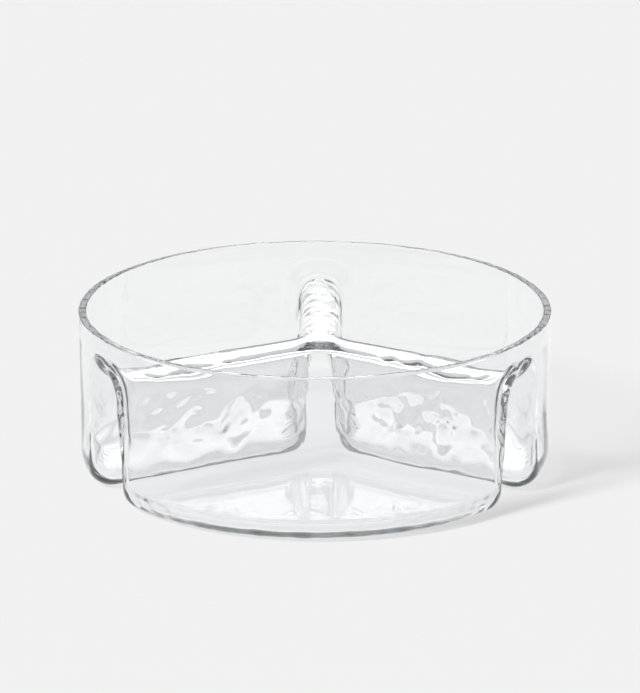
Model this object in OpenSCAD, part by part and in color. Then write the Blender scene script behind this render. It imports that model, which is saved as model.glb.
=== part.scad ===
// Divided serving bowl in clear glass. The round wall folds inwards through three arched mouths,
// and the folds run to the middle as hollow dividers that part the bowl into three compartments.

/* [Bowl] */
// Diameter over the outside of the wall
bowl_d = 250; // [200:1:320]
// Height from the table to the rim
bowl_h = 88; // [60:1:120]
// Thickness of the glass in the walls and the sides of the dividers
wall_t = 3.6; // [3:0.1:4.5]
// Thickness of the glass in the floor of a compartment
floor_t = 5; // [4:0.1:7]
// Radius of the outside edge at the foot
foot_r = 9; // [6:0.1:9.4]
// Radius of the cove between a compartment's floor and its walls
cove_r = 8; // [6.5:0.1:8.4]
// Radius of the polished edges of the rim
lip_r = 1.3; // [0.5:0.1:1.4]

/* [Dividers] */
// Depth of a divider's top below the rim
divider_drop = 18; // [16:0.5:30]
// Thickness of the glass in the roof of a divider
roof_t = 5.6; // [4.6:0.1:7]
// Width of the open gap inside a divider
gap_w = 19; // [14:0.5:24]
// Radius of the fold where the wall turns into a mouth
fold_r = 14; // [13:0.5:16]
// Radius of a compartment's inner corner, at the middle of the bowl
nose_r = 16; // [14:0.5:24]
// Width of the plain wall that is kept round each mouth
mouth_margin = 1.5; // [1:0.1:2]

/* [Smoothness] */
// Pieces in a full turn of the bowl
bowl_facets = 144; // [96:12:192]
// Pieces in a full turn of a corner
corner_facets = 72; // [48:12:96]
// Pieces in the half turn over a divider
vault_facets = 24; // [16:4:32]
// Pieces in the fold from a divider to the wall
fold_facets = 10; // [6:1:14]

/* [Hidden] */

glass = [0.80, 0.86, 0.88, 0.5];
right_angle = 90;
// Directions in plan, seen from above
rear_turn = 90;
divider_count = 3;
divider_step = 360 / divider_count;
half_step = divider_step / 2;
front_left_turn = rear_turn + divider_step;
front_right_turn = rear_turn - divider_step;
// Length by which a cut runs past the face that it opens
overrun = 1;
// Width by which the flat middle of the roof laps into the vaults round it
roof_lap = 0.4;

bowl_r = bowl_d / 2;
gap_r = gap_w / 2;
// A divider is a half round vault over its gap, and it springs from the compartments' walls.
// Its outside is the same half round lifted, because the roof is thicker than the walls.
vault_r = gap_r + wall_t;
vault_lift = roof_t - wall_t;
divider_h = bowl_h - divider_drop;
ceiling_z = divider_h - roof_t;
spring_z = ceiling_z - gap_r;
// Width of the rounded edge that runs round a compartment, from the outside to the flat floor
edge_w = wall_t + cove_r;
// At each side of a mouth the wall folds about an upright line, and touches the bowl's round
fold_axis_r = bowl_r - fold_r;
fold_offset = gap_r + fold_r;
fold_turn = asin(fold_offset / fold_axis_r);
fold_reach = fold_axis_r * cos(fold_turn);
wall_turn = half_step - fold_turn;
// Over the top of a mouth the fold is wider, because the wall stands further out there
crown_fold_r = bowl_r - fold_reach;
mouth_r = gap_r + crown_fold_r + mouth_margin;
// The inner corner of a compartment turns about an upright line near the middle of the bowl
nose_out_r = nose_r + wall_t;
nose_vault_r = nose_out_r + gap_r;
nose_axis_r = nose_vault_r / sin(half_step);
hub_reach = nose_axis_r * cos(half_step);

function polar(radius, turn) = [radius * cos(turn), radius * sin(turn)];

// The rounded edge of a compartment in section, with its outside face on the line x = 0
module edge_section() {
    difference() {
        square([edge_w, spring_z]);
        difference() {
            translate([-overrun, -overrun]) square(foot_r + overrun);
            translate([foot_r, foot_r]) circle(foot_r, $fn = corner_facets);
        }
        translate([edge_w, floor_t + cove_r]) circle(cove_r, $fn = corner_facets);
        translate([wall_t, floor_t + cove_r]) square([cove_r + overrun, spring_z]);
    }
}

// That edge turned about an upright line at a place, from one compass direction through a span
module edge_arc(place, radius, from, span, facets) {
    translate(place)
        rotate(from)
            rotate_extrude(angle = span, $fn = facets)
                translate([radius, 0]) mirror([1, 0]) edge_section();
}

// That edge along the straight side of a divider, for a compartment that points along +X
module edge_straight() {
    rotate(half_step)
        translate([hub_reach, -gap_r])
            rotate([right_angle, 0, right_angle])
                linear_extrude(fold_reach - hub_reach)
                    mirror([1, 0]) edge_section();
}

// The plan of a compartment that points along +X, set in from its outside by the foot
module floor_plan() {
    nose = [nose_axis_r, 0];
    posts = [polar(fold_axis_r, wall_turn), polar(fold_axis_r, -wall_turn)];
    side_normals = [half_step + right_angle, -half_step - right_angle];
    corner_plan_r = fold_r - foot_r;
    nose_plan_r = nose_out_r - foot_r;
    translate(nose) circle(nose_plan_r, $fn = corner_facets);
    for (post = posts)
        translate(post) circle(corner_plan_r, $fn = corner_facets);
    polygon([
        nose + polar(nose_plan_r, side_normals[1]),
        posts[1] + polar(corner_plan_r, side_normals[1]),
        posts[1],
        posts[0],
        posts[0] + polar(corner_plan_r, side_normals[0]),
        nose + polar(nose_plan_r, side_normals[0])
    ]);
    intersection() {
        circle(bowl_r - foot_r, $fn = bowl_facets);
        polygon([posts[1], 2 * posts[1], 2 * posts[0], posts[0]]);
    }
}

// A compartment's floor and all its walls, up to where the dividers spring
module compartment(turn) {
    post_span = right_angle + fold_turn;
    posts = [polar(fold_axis_r, wall_turn), polar(fold_axis_r, -wall_turn)];
    color(glass)
        rotate(turn) {
            linear_extrude(floor_t) floor_plan();
            edge_arc([0, 0], bowl_r, -wall_turn, 2 * wall_turn, bowl_facets);
            edge_arc(posts[0], fold_r, wall_turn, post_span, corner_facets);
            edge_arc(posts[1], fold_r, -wall_turn - post_span, post_span, corner_facets);
            edge_arc([nose_axis_r, 0], nose_out_r, half_step + right_angle, half_step, corner_facets);
            edge_straight();
            mirror([0, 1, 0]) edge_straight();
        }
}

// The point at a reach along a divider, at a radius and a turn about the line where its vault springs
function vault_point(reach, radius, turn) = [reach, radius * cos(turn), spring_z + radius * sin(turn)];

// The lift of the vault's outside at a turn, which starts at nothing on the compartments' walls
function lift(turn) = [0, 0, vault_lift * min(1, sin(turn) / sin(vault_turns[1]))];

// The round wall's reach beyond a point of a mouth, from the wall's own radius
function wall_reach(wall_r, radius, turn) = sqrt(pow(wall_r, 2) - pow(radius * cos(turn), 2));

// The radius of the fold and the angle that it bends through, at a turn over the mouth
function fold_size(turn) = fold_r + (crown_fold_r - fold_r) * pow(sin(turn), 2);
function fold_bend(turn) = right_angle + fold_turn * pow(cos(turn), 2);

// A point of the folded sheet at a share of the bend, set in from its gap side by a depth
function fold_point(share, depth, turn) =
    let (size = fold_size(turn), bend = share * fold_bend(turn))
        vault_point(
            fold_reach + (size - depth) * sin(bend),
            gap_r + size - (size - depth) * cos(bend),
            turn
        );

// The point where the sheet ends, in the round wall at the edge of the mouth's margin
function mouth_point(depth, turn) =
    vault_point(wall_reach(bowl_r - depth, mouth_r, turn), mouth_r, turn);

// Rings of points round the sheet, over its gap side one way and back over its other side
vault_turns = [for (i = [0 : vault_facets]) i * 2 * right_angle / vault_facets];
vault_turns_back = [for (i = [vault_facets : -1 : 0]) vault_turns[i]];
function vault_ring(reach) = concat(
    [for (turn = vault_turns) vault_point(reach, gap_r, turn)],
    [for (turn = vault_turns_back) vault_point(reach, vault_r, turn) + lift(turn)]
);
function fold_ring(share) = concat(
    [for (turn = vault_turns) fold_point(share, 0, turn)],
    [for (turn = vault_turns_back) fold_point(share, wall_t, turn) + (1 - share) * lift(turn)]
);
mouth_ring = concat(
    [for (turn = vault_turns) mouth_point(0, turn)],
    [for (turn = vault_turns_back) mouth_point(wall_t, turn)]
);

// A divider along +X: its vault from the middle of the bowl, and the fold into the round wall
module divider(turn) {
    rings = concat(
        [vault_ring(hub_reach)],
        [for (i = [0 : fold_facets]) fold_ring(i / fold_facets)],
        [mouth_ring]
    );
    ring_size = 2 * (vault_facets + 1);
    last_ring = (len(rings) - 1) * ring_size;
    skin = [
        for (i = [0 : len(rings) - 2])
            for (j = [0 : ring_size - 1])
                let (a = i * ring_size + j, b = i * ring_size + (j + 1) % ring_size)
                    [a, b, b + ring_size, a + ring_size]
    ];
    near_end = [
        for (j = [0 : vault_facets - 1])
            [j + 1, j, ring_size - 1 - j, ring_size - 2 - j]
    ];
    far_end = [for (face = near_end) [for (k = [3 : -1 : 0]) face[k] + last_ring]];
    color(glass)
        rotate(turn)
            polyhedron(
                points = [for (ring = rings) each ring],
                faces = concat(skin, near_end, far_end)
            );
}

// The round wall over the compartments, open at the three mouths, with a polished rim
module rim_wall() {
    color(glass)
        difference() {
            rotate_extrude($fn = bowl_facets) {
                translate([bowl_r - wall_t, spring_z]) square([wall_t, bowl_h - lip_r - spring_z]);
                for (x = [bowl_r - wall_t + lip_r, bowl_r - lip_r])
                    translate([x, bowl_h - lip_r]) circle(lip_r, $fn = corner_facets);
                translate([bowl_r - wall_t + lip_r, bowl_h - 2 * lip_r])
                    square([wall_t - 2 * lip_r, 2 * lip_r]);
            }
            for (turn = [rear_turn, front_left_turn, front_right_turn])
                rotate(turn)
                    translate([0, 0, spring_z])
                        rotate([0, right_angle, 0])
                            cylinder(bowl_r + overrun, mouth_r, mouth_r, $fn = 2 * vault_facets);
        }
}

// The part of a vault that follows a compartment's inner corner, in section
module corner_vault_section() {
    lift_z = spring_z + vault_lift;
    difference() {
        union() {
            translate([nose_r, spring_z]) square([vault_r, vault_lift]);
            intersection() {
                translate([nose_r, lift_z]) square([vault_r, vault_r]);
                translate([nose_vault_r, lift_z]) circle(vault_r, $fn = corner_facets);
            }
        }
        translate([nose_vault_r, spring_z]) circle(gap_r, $fn = corner_facets);
    }
}

// The roof over the middle, where the three dividers meet round the compartments' corners
module centre_crown() {
    corner_turns = [for (i = [0 : divider_count - 1]) rear_turn + half_step + i * divider_step];
    color(glass) {
        for (turn = corner_turns)
            rotate(turn)
                translate([nose_axis_r, 0])
                    rotate(half_step + right_angle)
                        rotate_extrude(angle = half_step, $fn = corner_facets)
                            corner_vault_section();
        translate([0, 0, ceiling_z])
            linear_extrude(roof_t)
                difference() {
                    polygon([for (turn = corner_turns) polar(hub_reach, turn + half_step)]);
                    for (turn = corner_turns)
                        translate(polar(nose_axis_r, turn))
                            circle(nose_vault_r - roof_lap, $fn = corner_facets);
                }
    }
}

rim_wall();
compartment(rear_turn + 3 * half_step);  // front_compartment
compartment(rear_turn + half_step);  // left_compartment
compartment(rear_turn - half_step);  // right_compartment
divider(front_left_turn);  // front_left_divider
divider(front_right_turn);  // front_right_divider
divider(rear_turn);  // rear_divider
centre_crown();
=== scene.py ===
"""Divided serving bowl in clear glass, dressed for its portrait.

The bowl is one melt, so it is one closed mesh here: the level surface of a distance field that is
put together from much the same sizes as the part. The dividers carry the soft hammering of real glass.
"""

import math

import bpy
import numpy as np
import openvdb
from mathutils import Matrix, Vector

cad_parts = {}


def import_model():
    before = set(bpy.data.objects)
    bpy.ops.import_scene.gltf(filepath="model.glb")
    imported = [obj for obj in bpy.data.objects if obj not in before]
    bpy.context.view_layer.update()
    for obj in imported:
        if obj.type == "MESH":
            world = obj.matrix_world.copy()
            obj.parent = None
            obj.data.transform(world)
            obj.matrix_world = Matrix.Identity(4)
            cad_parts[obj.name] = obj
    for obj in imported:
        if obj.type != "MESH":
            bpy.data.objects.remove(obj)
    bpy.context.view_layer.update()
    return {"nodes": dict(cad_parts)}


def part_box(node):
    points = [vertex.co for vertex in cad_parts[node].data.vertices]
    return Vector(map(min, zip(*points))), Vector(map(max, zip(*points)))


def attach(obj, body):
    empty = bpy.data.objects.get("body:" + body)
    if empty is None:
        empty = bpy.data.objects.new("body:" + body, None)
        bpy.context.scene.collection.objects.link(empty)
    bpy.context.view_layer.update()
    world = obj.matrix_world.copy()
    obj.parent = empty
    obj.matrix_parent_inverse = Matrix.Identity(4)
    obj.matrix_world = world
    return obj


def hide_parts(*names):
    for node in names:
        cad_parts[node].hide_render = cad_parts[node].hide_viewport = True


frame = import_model()

MM = 0.001
TINY = 1e-9

# Sizes in millimetres. The foot, the cove, the rim's edges and the folds over the middle differ a
# little from the part's, as the melt does.
RIM_LOW, RIM_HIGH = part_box("rim_wall")
BOWL_R = 0.5 * (RIM_HIGH[0] - RIM_LOW[0]) / MM
BOWL_H = RIM_HIGH[2] / MM
SPRING_Z = RIM_LOW[2] / MM
CROWN_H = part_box("centre_crown")[1][2] / MM
GAP_R = 9.5
WALL_T = 3.6
FLOOR_T = 5.0
FOOT_R = 11.0
COVE_R = 9.5
LIP_R = 0.9
FOLD_R = 14.0
CROWN_FOLD_R = 12.5
NOSE_R = 16.0

# The round wall is a little inside the part's, and it swells just under a rim that is a little lower
WALL_INSET = 0.3
RIM_SWELL = 0.6
RIM_SWELL_DEPTH = 14.0
RIM_DROP = 0.35

# The melt gathers in the inside corners, and the dividers lean in to ridges with square shoulders
THICK_FOLD_R = 16.5
THICK_FOLD_SPAN = (22.0, 50.0)
ROOF_POWER = 2.8
CEILING_POWERS = (3.2, 2.0)
CEILING_SPAN = (95.0, 116.0)
LEAN = 2.4
LEAST_ACROSS = 1e-6

# Hand-made unevenness: the hub sits a little off the axis, the dividers are hammered, and the edges
# of the rim and the foot are beaded. Each set of waves has a size and the spans of its waves.
HUB_SHIFT = np.array([2.6, 0.0])
RELIEF_SIZE = 0.56
RELIEF_SPANS = (7.5, 26.0)
RELIEF_WAVES = 30
ROUND_SIZE = 0.05
ROUND_SPANS = (28.0, 70.0)
ROUND_WAVES = 12
INNER_FACE_SHIFT = 40
BEAD_SIZE = 0.10
BEAD_SPANS = (5.0, 13.0)
BEAD_WAVES = 14
RIPPLE_SPAN = 11.0
RIPPLE_SIZE = 0.02

# Where the hammering rises above the foot, how it fades at the ridge and at the hub, where the
# ripple of a ridge starts, and the ring of the foot that is lifted and beaded
HAMMER_RISE = (14.0, 34.0)
RIDGE_FADE = 0.75
RIDGE_FADE_SPAN = (12.0, 4.0)
HUB_SHARE = 0.2
HUB_SPAN = (30.0, 55.0)
RIPPLE_RISE = 8.0
RIPPLE_REACH = (20.0, 40.0)
FOOT_LIFT = 0.3
FOOT_RING = (-13.0, -5.0)

# Grid that the distance field is sampled on, and the moves that bring its vertices to the surface
GRID_STEP = 1.3
GRID_MARGIN = 4.0
SLOPE_STEP = 0.05
LEAST_SLOPE_SQUARED = 0.25
PROJECT_ROUNDS = 3
PROJECT_REACH = 1.5

COMPARTMENT_TURNS = [math.radians(a) for a in (270, 150, 30)]
HALF_STEP = math.radians(60)


def rounded_meet(a, b, radius):
    """Field of the space inside both a and b, with their shared edge rounded to a radius."""
    a, b = a + radius, b + radius
    inner = np.minimum(np.maximum(a, b), 0.0)
    outer = np.hypot(np.maximum(a, 0.0), np.maximum(b, 0.0))
    return inner + outer - radius


def wave_table(seed, count, spans, size):
    """A seeded set of plane waves: their wave vectors, phases and heights, in millimetres."""
    random = np.random.default_rng(seed)
    heading = random.normal(size=(count, 3))
    heading /= np.linalg.norm(heading, axis=1, keepdims=True)
    span = np.exp(random.uniform(math.log(spans[0]), math.log(spans[1]), size=count))
    height = span / math.sqrt(0.5 * (span * span).sum()) * size
    return heading * (2 * math.pi / span)[:, None], random.uniform(0, 2 * math.pi, count), height


WALL_RELIEF = wave_table(11, RELIEF_WAVES, RELIEF_SPANS, RELIEF_SIZE)
GAP_RELIEF = wave_table(23, RELIEF_WAVES, RELIEF_SPANS, RELIEF_SIZE)
ROUND_RELIEF = wave_table(5, ROUND_WAVES, ROUND_SPANS, ROUND_SIZE)
EDGE_BEADS = wave_table(31, BEAD_WAVES, BEAD_SPANS, BEAD_SIZE)


def waves(table, x, y, z):
    """Height of a set of plane waves at each point."""
    x, y, z = x.astype(np.float32), y.astype(np.float32), z.astype(np.float32)
    total = np.zeros_like(x)
    for (kx, ky, kz), phase, height in zip(*[part.astype(np.float32) for part in table]):
        total += height * np.sin(kx * x + ky * y + kz * z + phase)
    return total


def smooth_step(low, high, value):
    """0 below low, 1 above high, and a smooth rise between them."""
    share = np.clip((value - low) / (high - low), 0.0, 1.0)
    return share * share * (3.0 - 2.0 * share)


def hammered(relief, x, y, z, radius):
    """The hammering of a divider: full on its upright walls, faint on its ridge and at the hub."""
    ridge = smooth_step(SPRING_Z - RIDGE_FADE_SPAN[0], SPRING_Z + RIDGE_FADE_SPAN[1], z)
    upright = smooth_step(*HAMMER_RISE, z) * (1.0 - RIDGE_FADE * ridge)
    clear_of_hub = HUB_SHARE + (1.0 - HUB_SHARE) * smooth_step(*HUB_SPAN, radius)
    ripple = RIPPLE_SIZE * smooth_step(SPRING_Z, SPRING_Z + RIPPLE_RISE, z)
    ripple = ripple * smooth_step(*RIPPLE_REACH, radius)
    ripple = ripple * np.sin(2 * math.pi * radius / RIPPLE_SPAN)
    return waves(relief, x, y, z) * upright * clear_of_hub + ripple


def plan_of_compartments(x, y):
    """Distance in plan to the nearest compartment's outside, less than nothing inside one."""
    nose_out_r = NOSE_R + WALL_T
    nose_axis_r = (GAP_R + nose_out_r) / math.sin(HALF_STEP)
    nearest = None
    for turn in COMPARTMENT_TURNS:
        along = x * math.cos(turn) + y * math.sin(turn) - nose_axis_r
        across = np.abs(y * math.cos(turn) - x * math.sin(turn))
        off_side = across * math.cos(HALF_STEP) - along * math.sin(HALF_STEP)
        down_side = along * math.cos(HALF_STEP) + across * math.sin(HALF_STEP)
        wedge = np.where(down_side > 0, off_side, np.hypot(along, across))
        distance = wedge - nose_out_r
        nearest = distance if nearest is None else np.minimum(nearest, distance)
    return nearest


def vault(plan, z, half_width, spring_z, power):
    """Field of what lies outside a vaulted gap, from the plan distance and the height."""
    narrowed = half_width - LEAN * smooth_step(FLOOR_T, SPRING_Z, z)
    across = (np.maximum(GAP_R - plan, 0.0) * half_width / narrowed) ** power
    rise = np.maximum(z - spring_z, 0.0) ** power
    return half_width - (across + rise + TINY) ** (1.0 / power)


def folded_wall(x, y, z, plan, depth, lift, relief):
    """Field of the round wall folded into the dividers, set in from the outside by a depth."""
    radius = np.hypot(x, y)
    rise = np.maximum(z - SPRING_Z - lift, 0.0)
    across = np.maximum(GAP_R - plan, LEAST_ACROSS)
    over = rise * rise / (rise * rise + across * across)
    upright_fold = FOLD_R - depth
    if depth > 0:
        upright_fold += (THICK_FOLD_R - upright_fold) * smooth_step(*THICK_FOLD_SPAN, z)
    fold = upright_fold + (CROWN_FOLD_R - depth - upright_fold) * over
    power = ROOF_POWER
    if depth == 0:
        middle, mouth = CEILING_POWERS
        power = middle + (mouth - middle) * smooth_step(*CEILING_SPAN, radius)
    gap = vault(plan, z, GAP_R + depth, SPRING_Z + lift, power) + hammered(relief, x, y, z, radius)
    swell = RIM_SWELL * smooth_step(BOWL_H - RIM_SWELL_DEPTH, BOWL_H, z) if depth > 0 else 0.0
    unevenness = waves(ROUND_RELIEF, x, y, z + INNER_FACE_SHIFT * depth)
    round_wall = radius - BOWL_R + depth + swell + WALL_INSET + unevenness
    return rounded_meet(round_wall, gap, fold)


def glass_field(points):
    """Distance field of the glass at an array of points, in millimetres."""
    x, y, z = points[..., 0], points[..., 1], points[..., 2]
    inner = np.maximum(1.0 - (x * x + y * y) / (BOWL_R * BOWL_R), 0.0)
    plan = plan_of_compartments(x - HUB_SHIFT[0] * inner, y - HUB_SHIFT[1] * inner)
    roof_lift = CROWN_H - SPRING_Z - GAP_R - WALL_T
    beads = waves(EDGE_BEADS, x, y, z)
    outside = folded_wall(x, y, z, plan, 0.0, 0.0, GAP_RELIEF)
    foot = (FOOT_LIFT + beads) * smooth_step(*FOOT_RING, outside)
    outside = rounded_meet(outside, foot - z, FOOT_R)
    inside = folded_wall(x, y, z, plan, WALL_T, roof_lift, WALL_RELIEF)
    inside = rounded_meet(inside, FLOOR_T - z, COVE_R)
    sheet = np.maximum(outside, -inside)
    return rounded_meet(sheet, z - BOWL_H + RIM_DROP + beads, LIP_R)


def gradient(points):
    """Gradient of the field by central differences."""
    slopes = []
    for axis in range(3):
        shift = np.zeros(3)
        shift[axis] = SLOPE_STEP
        slopes.append((glass_field(points + shift) - glass_field(points - shift)) / (2 * SLOPE_STEP))
    return np.stack(slopes, axis=-1)


def sampled_field():
    """The field on a regular grid round the bowl, and the grid's first corner."""
    low = np.array([-BOWL_R - GRID_MARGIN, -BOWL_R - GRID_MARGIN, -GRID_MARGIN])
    high = np.array([BOWL_R + GRID_MARGIN, BOWL_R + GRID_MARGIN, BOWL_H + GRID_MARGIN])
    axes = [np.arange(low[i], high[i], GRID_STEP) for i in range(3)]
    points = np.stack(np.meshgrid(*axes, indexing="ij"), axis=-1)
    return glass_field(points).astype(np.float32), low


def glass_surface():
    """Vertices on the glass's surface, their normals, and the four-sided faces between them."""
    field, low = sampled_field()
    grid = openvdb.FloatGrid()
    grid.copyFromArray(field)
    corners, _, faces = grid.convertToPolygons(isovalue=0.0, adaptivity=0.0)
    points = corners.astype(np.float64) * GRID_STEP + low
    for _ in range(PROJECT_ROUNDS):
        slope = gradient(points)
        size = np.maximum((slope * slope).sum(axis=-1), LEAST_SLOPE_SQUARED)
        move = slope * (glass_field(points) / size)[:, None]
        length = np.linalg.norm(move, axis=-1, keepdims=True)
        points -= move * np.minimum(1.0, PROJECT_REACH / np.maximum(length, TINY))
    normals = gradient(points)
    normals /= np.maximum(np.linalg.norm(normals, axis=-1, keepdims=True), TINY)
    return points, normals, faces.tolist()


def glass_bowl():
    """The whole bowl as one closed mesh."""
    points, normals, faces = glass_surface()
    mesh = bpy.data.meshes.new("glass_bowl")
    mesh.from_pydata((points * MM).tolist(), [], faces)
    mesh.validate()
    mesh.shade_smooth()
    mesh.normals_split_custom_set_from_vertices(normals.tolist())
    bowl = bpy.data.objects.new("glass_bowl", mesh)
    bpy.context.scene.collection.objects.link(bowl)
    return bowl


def maths(links, nodes, operation, *values):
    """A Math node fed with sockets or plain numbers, and its output."""
    node = nodes.new("ShaderNodeMath")
    node.operation = operation
    for socket, value in zip(node.inputs, values):
        if isinstance(value, (int, float)):
            socket.default_value = value
        else:
            links.new(value, socket)
    return node.outputs["Value"]


# The tint that each face of the glass gives, and what the glass keeps of the light along the way
FACE_TINT = (0.962, 0.965, 0.967, 1.0)
GLASS_IOR = 1.5
DEPTH_COLOUR = (0.76, 0.775, 0.785, 1.0)
DEPTH_DENSITY = 28.0
# What one face of the glass lets through of the light that throws the shadow, and how fast that
# falls towards its outline
SHADOW_CLEAR = 0.95
SHADOW_POWER = 3.0


def glass_material():
    """Clear glass, faintly cool where the eye looks a long way through it, whose shadow is light."""
    material = bpy.data.materials.new("clear_glass")
    material.use_nodes = True
    nodes, links = material.node_tree.nodes, material.node_tree.links
    shader = nodes["Principled BSDF"]
    shader.inputs["Base Color"].default_value = FACE_TINT
    shader.inputs["Roughness"].default_value = 0.0
    shader.inputs["IOR"].default_value = GLASS_IOR
    shader.inputs["Transmission Weight"].default_value = 1.0
    weight = nodes.new("ShaderNodeLayerWeight")
    weight.inputs["Blend"].default_value = 0.5
    lost = maths(links, nodes, "POWER", weight.outputs["Facing"], SHADOW_POWER)
    passed = maths(links, nodes, "MULTIPLY_ADD", lost, -SHADOW_CLEAR, SHADOW_CLEAR)
    clear = nodes.new("ShaderNodeBsdfTransparent")
    links.new(passed, clear.inputs["Color"])
    mix = nodes.new("ShaderNodeMixShader")
    links.new(nodes.new("ShaderNodeLightPath").outputs["Is Shadow Ray"], mix.inputs["Fac"])
    links.new(shader.outputs["BSDF"], mix.inputs[1])
    links.new(clear.outputs["BSDF"], mix.inputs[2])
    links.new(mix.outputs["Shader"], nodes["Material Output"].inputs["Surface"])
    depth = nodes.new("ShaderNodeVolumeAbsorption")
    depth.inputs["Color"].default_value = DEPTH_COLOUR
    depth.inputs["Density"].default_value = DEPTH_DENSITY
    links.new(depth.outputs["Volume"], nodes["Material Output"].inputs["Volume"])
    return material


# The floor shows partly as plain pale ground, to the camera and through the glass
FLOOR_HALF = 8.0
FLOOR_DROP = 0.0003
FLOOR_COLOUR = 0.75
FLOOR_PALE_SHARE = 0.2
GLASS_PALE_SHARE = 0.68
BACKGROUND_LEVEL = 0.879
GLASS_LEVEL = 1.0


def floor():
    """A plain pale floor under the bowl."""
    sides = ((-1, -1), (1, -1), (1, 1), (-1, 1))
    corners = [(x * FLOOR_HALF, y * FLOOR_HALF, -FLOOR_DROP) for x, y in sides]
    mesh = bpy.data.meshes.new("studio_floor")
    mesh.from_pydata(corners, [], [(0, 1, 2, 3)])
    plane = bpy.data.objects.new("studio_floor", mesh)
    bpy.context.scene.collection.objects.link(plane)
    material = bpy.data.materials.new("studio_floor")
    material.use_nodes = True
    nodes, links = material.node_tree.nodes, material.node_tree.links
    shader = nodes["Principled BSDF"]
    shader.inputs["Base Color"].default_value = (FLOOR_COLOUR, FLOOR_COLOUR, FLOOR_COLOUR, 1.0)
    shader.inputs["Roughness"].default_value = 1.0
    shader.inputs["Specular IOR Level"].default_value = 0.0
    path = nodes.new("ShaderNodeLightPath").outputs
    bent = maths(links, nodes, "MAXIMUM", path["Is Glossy Ray"], path["Is Transmission Ray"])
    direct = maths(links, nodes, "LESS_THAN", path["Diffuse Depth"], 0.5)
    through = maths(links, nodes, "MULTIPLY", bent, direct)
    share = maths(links, nodes, "MULTIPLY", path["Is Camera Ray"], FLOOR_PALE_SHARE)
    share = maths(links, nodes, "MULTIPLY_ADD", through, GLASS_PALE_SHARE, share)
    extra = GLASS_LEVEL - BACKGROUND_LEVEL
    level = maths(links, nodes, "MULTIPLY_ADD", through, extra, BACKGROUND_LEVEL)
    pale = nodes.new("ShaderNodeEmission")
    links.new(level, pale.inputs["Strength"])
    mix = nodes.new("ShaderNodeMixShader")
    links.new(share, mix.inputs["Fac"])
    links.new(shader.outputs["BSDF"], mix.inputs[1])
    links.new(pale.outputs["Emission"], mix.inputs[2])
    links.new(mix.outputs["Shader"], nodes["Material Output"].inputs["Surface"])
    mesh.materials.append(material)
    return plane


KEY_ENERGY = 2.2
KEY_WIDTH = 10
KEY_AIM = Vector((1.0, 0.84, -1.1))
WORLD_LEVEL = 0.25
HORIZON_BAND = (5.0, 11.0)
# A strip of light behind the bowl: the elevations that it spans, its soft ends to either side, and
# its strength
STRIP_SPAN = (12.0, 17.0, 30.5, 32.0)
STRIP_WIDTH = (32.0, 45.0)
STRIP_LEVEL = 1.55
# Soft panels round the studio: where each one is, the angles at which it starts to fade and ends,
# and what it adds
WORLD_PANELS = [
    ((-1.2, 0.35, 1.3), 20, 45, 0.4),
    ((0.0, 1.0, 0.22), 14, 32, 0.5),
    ((0.0, 0.3, 1.0), 32, 52, 0.55),
    ((1.0, 0.3, 0.5), 16, 30, -0.25),
    ((0.9, 1.0, 0.35), 12, 30, 1.2),
    ((-0.9, 1.0, 0.35), 12, 30, 1.2),
    ((-1.0, -0.7, 0.3), 20, 40, -0.23),
]


def ramp(links, nodes, value, low, high, top):
    """A smooth rise from 0 at low to top at high."""
    node = nodes.new("ShaderNodeMapRange")
    node.interpolation_type = "SMOOTHSTEP"
    node.inputs["From Min"].default_value = low
    node.inputs["From Max"].default_value = high
    node.inputs["To Max"].default_value = top
    links.new(value, node.inputs["Value"])
    return node.outputs["Result"]


def world():
    """A studio with soft panels over a pale horizon; the camera sees it as plain pale ground."""
    world = bpy.data.worlds.new("studio")
    bpy.context.scene.world = world
    world.cycles.sampling_method = "NONE"
    world.use_nodes = True
    nodes, links = world.node_tree.nodes, world.node_tree.links
    heading = nodes.new("ShaderNodeTexCoord").outputs["Generated"]
    level = WORLD_LEVEL
    for towards, inner, outer, strength in WORLD_PANELS:
        dot = nodes.new("ShaderNodeVectorMath")
        dot.operation = "DOT_PRODUCT"
        dot.inputs[1].default_value = Vector(towards).normalized()
        links.new(heading, dot.inputs[0])
        edges = math.cos(math.radians(outer)), math.cos(math.radians(inner))
        panel = ramp(links, nodes, dot.outputs["Value"], *edges, strength)
        level = maths(links, nodes, "ADD", level, panel)
    split = nodes.new("ShaderNodeSeparateXYZ")
    links.new(heading, split.inputs["Vector"])
    rise = [math.sin(math.radians(a)) for a in STRIP_SPAN]
    strip = ramp(links, nodes, split.outputs["Z"], rise[0], rise[1], STRIP_LEVEL)
    above = ramp(links, nodes, split.outputs["Z"], rise[2], rise[3], STRIP_LEVEL)
    edges = [math.cos(math.radians(a)) for a in STRIP_WIDTH]
    behind = ramp(links, nodes, split.outputs["Y"], edges[1], edges[0], 1.0)
    strip = maths(links, nodes, "SUBTRACT", strip, above)
    level = maths(links, nodes, "MULTIPLY_ADD", strip, behind, level)
    band = [math.sin(math.radians(a)) for a in HORIZON_BAND]
    studio = ramp(links, nodes, split.outputs["Z"], *band, 1.0)
    camera_ray = nodes.new("ShaderNodeLightPath").outputs["Is Camera Ray"]
    studio = maths(links, nodes, "MULTIPLY", studio, maths(links, nodes, "SUBTRACT", 1.0, camera_ray))
    extra = maths(links, nodes, "SUBTRACT", level, BACKGROUND_LEVEL)
    strength = maths(links, nodes, "MULTIPLY_ADD", extra, studio, BACKGROUND_LEVEL)
    back = nodes["Background"]
    back.inputs["Color"].default_value = (1.0, 1.0, 1.0, 1.0)
    links.new(strength, back.inputs["Strength"])


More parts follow.
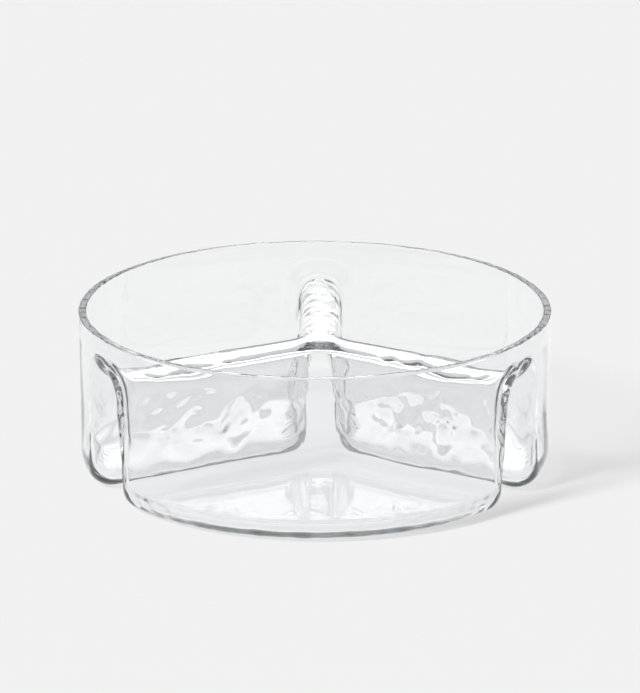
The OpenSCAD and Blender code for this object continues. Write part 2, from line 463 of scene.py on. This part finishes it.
def key_light():
    """One broad soft key from the left, low enough to throw the bowl's shadow to the right."""
    data = bpy.data.lights.new("key", "SUN")
    data.energy = KEY_ENERGY
    data.angle = math.radians(KEY_WIDTH)
    data.cycles.use_multiple_importance_sampling = False
    key = bpy.data.objects.new("key", data)
    bpy.context.scene.collection.objects.link(key)
    key.rotation_euler = KEY_AIM.to_track_quat("-Z", "Y").to_euler()


# The camera that fits the rim, the side walls and the base edge of the photograph. Its reach and
# what it aims at are in radii of the bowl.
FRAME_PX = (640, 693)
FOCAL_PX = 3311.0
SENSOR_MM = 36.0
CAMERA_REACH = 14.0
CAMERA_ELEVATION = math.radians(17.007)
CAMERA_TURN = math.radians(1.2)
AIM = (0.0219, 0.5164)


def camera():
    """The camera at the photograph's viewing angle."""
    data = bpy.data.cameras.new("camera")
    data.sensor_fit = "AUTO"
    data.sensor_width = SENSOR_MM
    data.lens = FOCAL_PX * SENSOR_MM / max(FRAME_PX)
    obj = bpy.data.objects.new("camera", data)
    bpy.context.scene.collection.objects.link(obj)
    radius = BOWL_R * MM
    aim = Vector((AIM[0] * radius, 0.0, AIM[1] * radius))
    place = Vector((
        0.0,
        -CAMERA_REACH * math.cos(CAMERA_ELEVATION) * radius,
        BOWL_H * MM + CAMERA_REACH * math.sin(CAMERA_ELEVATION) * radius,
    ))
    turn = Matrix.Rotation(CAMERA_TURN, 3, "Z")
    aim, place = turn @ aim, turn @ place
    obj.location = place
    obj.rotation_euler = (aim - place).to_track_quat("-Z", "Y").to_euler()
    bpy.context.scene.camera = obj


camera()
world()
key_light()
floor()
bowl = glass_bowl()
bowl.data.materials.append(glass_material())
# Lamp light that the glass would gather into hot spots on the floor is left out
bowl.visible_diffuse = False
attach(bowl, "root")
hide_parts(*frame["nodes"])

# Light in the feet is turned back inside the melt hundreds of times before it leaves
GLASS_BOUNCES = 1024
DIFFUSE_BOUNCES = 6
cycles = bpy.context.scene.cycles
cycles.max_bounces = GLASS_BOUNCES
cycles.transmission_bounces = GLASS_BOUNCES
cycles.glossy_bounces = GLASS_BOUNCES
cycles.diffuse_bounces = DIFFUSE_BOUNCES
bpy.context.scene.view_settings.view_transform = "Standard"
